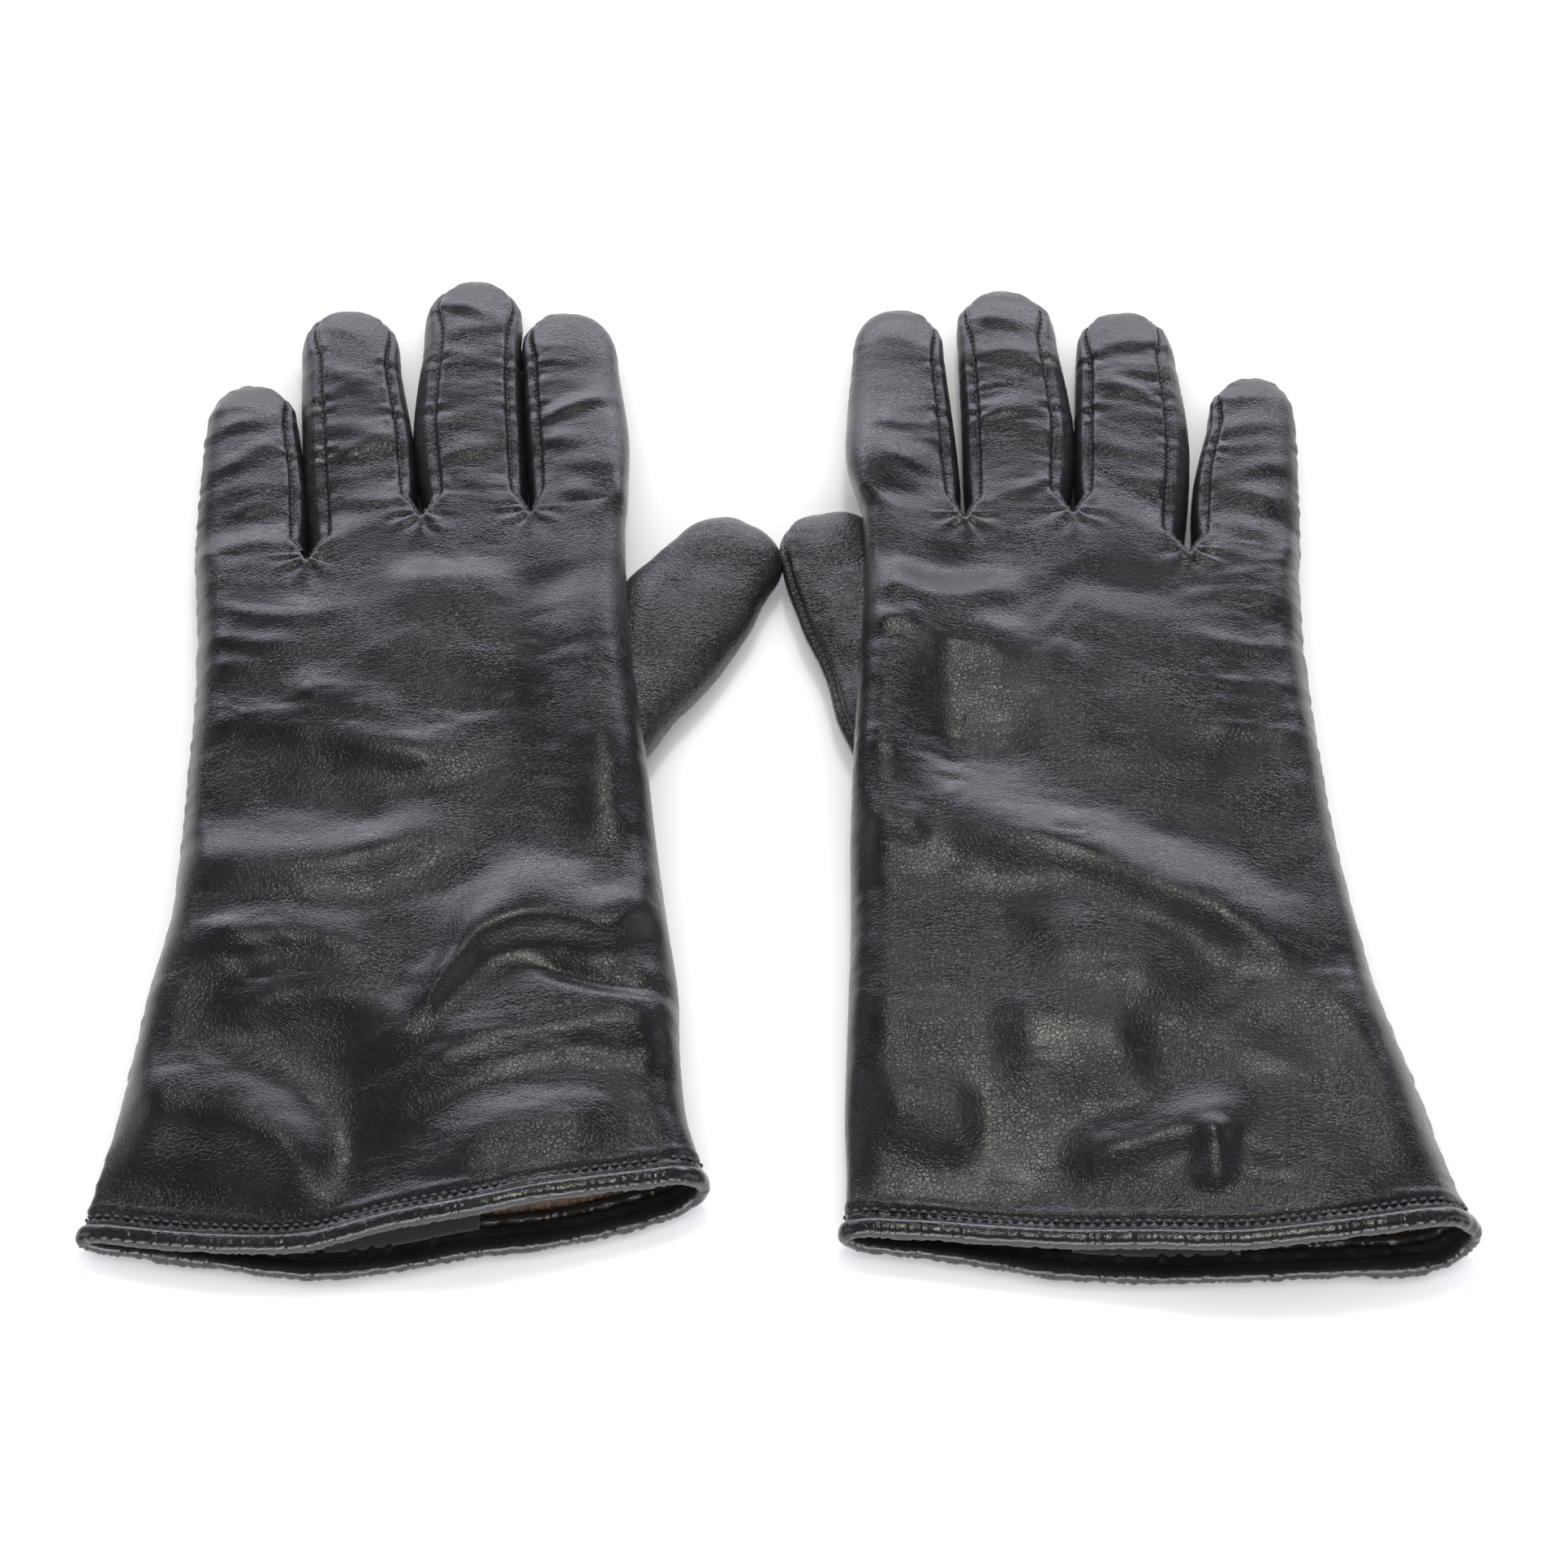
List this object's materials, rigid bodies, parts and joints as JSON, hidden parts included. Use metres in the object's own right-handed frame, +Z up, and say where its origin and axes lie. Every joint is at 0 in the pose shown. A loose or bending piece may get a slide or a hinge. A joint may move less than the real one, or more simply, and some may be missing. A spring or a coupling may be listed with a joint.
{
  "type": "leather gloves",
  "caption": "Pair of lined leather dress gloves laid flat, back up, with bound cuffs, finger side strips and bendable fingers, thumbs and wrists.",
  "frame": {"origin": "middle of the pair's outline, on the surface the gloves lie on", "axes": "+X from the left-hand glove to the right-hand glove, +Y towards the fingertips, +Z up from the palms through the backs"},
  "size_m": [0.2744, 0.263, 0.0197],
  "materials": {
    "leather": "smooth grained, semi-gloss",
    "leather_side_strip": "smooth grained",
    "leather_edge": "rolled, glossy",
    "thread": "sewing thread",
    "knit_lining": "ribbed knit",
    "woven_label": "woven, blank"
  },
  "bodies": {
    "left_cuff": {"cuff_binding_left": "leather_edge", "cuff_facing_left": "leather_edge", "hem_thread_left": "thread", "label_left": "woven_label", "trank_cuff_left": "leather"},
    "left_hand": {"lining_left": "knit_lining", "side_seam_thread_left": "thread", "trank_hand_left": "leather"},
    "left_index_far": {"index_distal_left": "leather"},
    "left_index_near": {"index_fourchette_little_side_left": "leather_side_strip", "index_proximal_left": "leather"},
    "left_little_far": {"little_distal_left": "leather"},
    "left_little_near": {"little_fourchette_thumb_side_left": "leather_side_strip", "little_proximal_left": "leather"},
    "left_middle_far": {"middle_distal_left": "leather"},
    "left_middle_near": {"middle_fourchette_little_side_left": "leather_side_strip", "middle_fourchette_thumb_side_left": "leather_side_strip", "middle_proximal_back_left": "leather", "middle_proximal_palm_left": "leather"},
    "left_ring_far": {"ring_distal_left": "leather"},
    "left_ring_near": {"ring_fourchette_little_side_left": "leather_side_strip", "ring_fourchette_thumb_side_left": "leather_side_strip", "ring_proximal_back_left": "leather", "ring_proximal_palm_left": "leather"},
    "left_thumb_far": {"thumb_distal_left": "leather"},
    "left_thumb_near": {"thumb_base_left": "leather", "thumb_seam_thread_left": "thread"},
    "right_cuff": {"cuff_binding_right": "leather_edge", "cuff_facing_right": "leather_edge", "hem_thread_right": "thread", "label_right": "woven_label", "trank_cuff_right": "leather"},
    "right_hand": {"lining_right": "knit_lining", "side_seam_thread_right": "thread", "trank_hand_right": "leather"},
    "right_index_far": {"index_distal_right": "leather"},
    "right_index_near": {"index_fourchette_little_side_right": "leather_side_strip", "index_proximal_right": "leather"},
    "right_little_far": {"little_distal_right": "leather"},
    "right_little_near": {"little_fourchette_thumb_side_right": "leather_side_strip", "little_proximal_right": "leather"},
    "right_middle_far": {"middle_distal_right": "leather"},
    "right_middle_near": {"middle_fourchette_little_side_right": "leather_side_strip", "middle_fourchette_thumb_side_right": "leather_side_strip", "middle_proximal_back_right": "leather", "middle_proximal_palm_right": "leather"},
    "right_ring_far": {"ring_distal_right": "leather"},
    "right_ring_near": {"ring_fourchette_little_side_right": "leather_side_strip", "ring_fourchette_thumb_side_right": "leather_side_strip", "ring_proximal_back_right": "leather", "ring_proximal_palm_right": "leather"},
    "right_thumb_far": {"thumb_distal_right": "leather"},
    "right_thumb_near": {"thumb_base_right": "leather", "thumb_seam_thread_right": "thread"}
  },
  "joints": [
    {"name": "pair_spacing", "type": "slide", "parent": "left_hand", "child": "right_hand", "axis": [1, 0, 0], "range_m": [0, 0.15]},
    {"name": "wrist_left", "type": "hinge", "parent": "left_hand", "child": "left_cuff", "pos_m": [-0.07372, -0.07181, 0.00911], "axis": [1, 0, 0], "range_deg": [-35, 35], "deforming": ["lining_left"]},
    {"name": "little_knuckle_left", "type": "hinge", "parent": "left_hand", "child": "left_little_near", "pos_m": [-0.1153, 0.04219, 0.0066], "axis": [-1, 0, 0], "range_deg": [-15, 80], "deforming": ["lining_left"]},
    {"name": "little_mid_left", "type": "hinge", "parent": "left_little_near", "child": "left_little_far", "pos_m": [-0.11719, 0.06919, 0.00632], "axis": [-1, 0, 0], "range_deg": [-10, 80], "deforming": ["lining_left", "little_fourchette_thumb_side_left"]},
    {"name": "ring_knuckle_left", "type": "hinge", "parent": "left_hand", "child": "left_ring_near", "pos_m": [-0.0909, 0.05019, 0.0066], "axis": [-1, 0, 0], "range_deg": [-15, 80], "deforming": ["lining_left"]},
    {"name": "ring_mid_left", "type": "hinge", "parent": "left_ring_near", "child": "left_ring_far", "pos_m": [-0.09416, 0.08419, 0.00632], "axis": [-1, 0, 0], "range_deg": [-10, 80], "deforming": ["lining_left", "ring_fourchette_little_side_left", "ring_fourchette_thumb_side_left"]},
    {"name": "middle_knuckle_left", "type": "hinge", "parent": "left_hand", "child": "left_middle_near", "pos_m": [-0.0665, 0.05419, 0.0066], "axis": [-1, 0, 0], "range_deg": [-15, 80], "deforming": ["lining_left"]},
    {"name": "middle_mid_left", "type": "hinge", "parent": "left_middle_near", "child": "left_middle_far", "pos_m": [-0.06798, 0.09119, 0.00631], "axis": [-1, 0, 0], "range_deg": [-10, 80], "deforming": ["lining_left", "middle_fourchette_little_side_left", "middle_fourchette_thumb_side_left"]},
    {"name": "index_knuckle_left", "type": "hinge", "parent": "left_hand", "child": "left_index_near", "pos_m": [-0.0431, 0.05419, 0.0066], "axis": [-1, 0, 0], "range_deg": [-15, 80], "deforming": ["lining_left"]},
    {"name": "index_mid_left", "type": "hinge", "parent": "left_index_near", "child": "left_index_far", "pos_m": [-0.04458, 0.08719, 0.00632], "axis": [-1, 0, 0], "range_deg": [-10, 80], "deforming": ["lining_left", "index_fourchette_little_side_left"]},
    {"name": "thumb_root_left", "type": "hinge", "parent": "left_hand", "child": "left_thumb_near", "pos_m": [-0.02802, 0.00351, 0.006], "axis": [-0.1078, 0.9942, 0], "range_deg": [-15, 45], "deforming": ["lining_left"]},
    {"name": "thumb_mid_left", "type": "hinge", "parent": "left_thumb_near", "child": "left_thumb_far", "pos_m": [-0.017, 0.02969, 0.006], "axis": [-0.8988, 0.4384, 0], "range_deg": [-10, 60], "deforming": ["lining_left"]},
    {"name": "wrist_right", "type": "hinge", "parent": "right_hand", "child": "right_cuff", "pos_m": [0.06878, -0.07181, 0.00911], "axis": [1, 0, 0], "range_deg": [-35, 35], "deforming": ["lining_right"]},
    {"name": "little_knuckle_right", "type": "hinge", "parent": "right_hand", "child": "right_little_near", "pos_m": [0.10295, 0.04219, 0.0066], "axis": [-1, 0, 0], "range_deg": [-15, 80], "deforming": ["lining_right"]},
    {"name": "little_mid_right", "type": "hinge", "parent": "right_little_near", "child": "right_little_far", "pos_m": [0.10473, 0.06919, 0.00632], "axis": [-1, 0, 0], "range_deg": [-10, 80], "deforming": ["lining_right", "little_fourchette_thumb_side_right"]},
    {"name": "ring_knuckle_right", "type": "hinge", "parent": "right_hand", "child": "right_ring_near", "pos_m": [0.0789, 0.05019, 0.0066], "axis": [-1, 0, 0], "range_deg": [-15, 80], "deforming": ["lining_right"]},
    {"name": "ring_mid_right", "type": "hinge", "parent": "right_ring_near", "child": "right_ring_far", "pos_m": [0.07938, 0.08419, 0.00632], "axis": [-1, 0, 0], "range_deg": [-10, 80], "deforming": ["lining_right", "ring_fourchette_little_side_right", "ring_fourchette_thumb_side_right"]},
    {"name": "middle_knuckle_right", "type": "hinge", "parent": "right_hand", "child": "right_middle_near", "pos_m": [0.0545, 0.05419, 0.0066], "axis": [-1, 0, 0], "range_deg": [-15, 80], "deforming": ["lining_right"]},
    {"name": "middle_mid_right", "type": "hinge", "parent": "right_middle_near", "child": "right_middle_far", "pos_m": [0.05354, 0.09119, 0.00631], "axis": [-1, 0, 0], "range_deg": [-10, 80], "deforming": ["lining_right", "middle_fourchette_little_side_right", "middle_fourchette_thumb_side_right"]},
    {"name": "index_knuckle_right", "type": "hinge", "parent": "right_hand", "child": "right_index_near", "pos_m": [0.03075, 0.05419, 0.0066], "axis": [-1, 0, 0], "range_deg": [-15, 80], "deforming": ["lining_right"]},
    {"name": "index_mid_right", "type": "hinge", "parent": "right_index_near", "child": "right_index_far", "pos_m": [0.03009, 0.08719, 0.00632], "axis": [-1, 0, 0], "range_deg": [-10, 80], "deforming": ["lining_right", "index_fourchette_little_side_right"]},
    {"name": "thumb_root_right", "type": "hinge", "parent": "right_hand", "child": "right_thumb_near", "pos_m": [0.01738, 0.00347, 0.0058], "axis": [-0.0404, -0.9992, 0], "range_deg": [-15, 45], "deforming": ["lining_right"]},
    {"name": "thumb_mid_right", "type": "hinge", "parent": "right_thumb_near", "child": "right_thumb_far", "pos_m": [0.0099, 0.02919, 0.0058], "axis": [-0.9903, -0.1392, 0], "range_deg": [-10, 60], "deforming": ["lining_right"]}
  ]
}
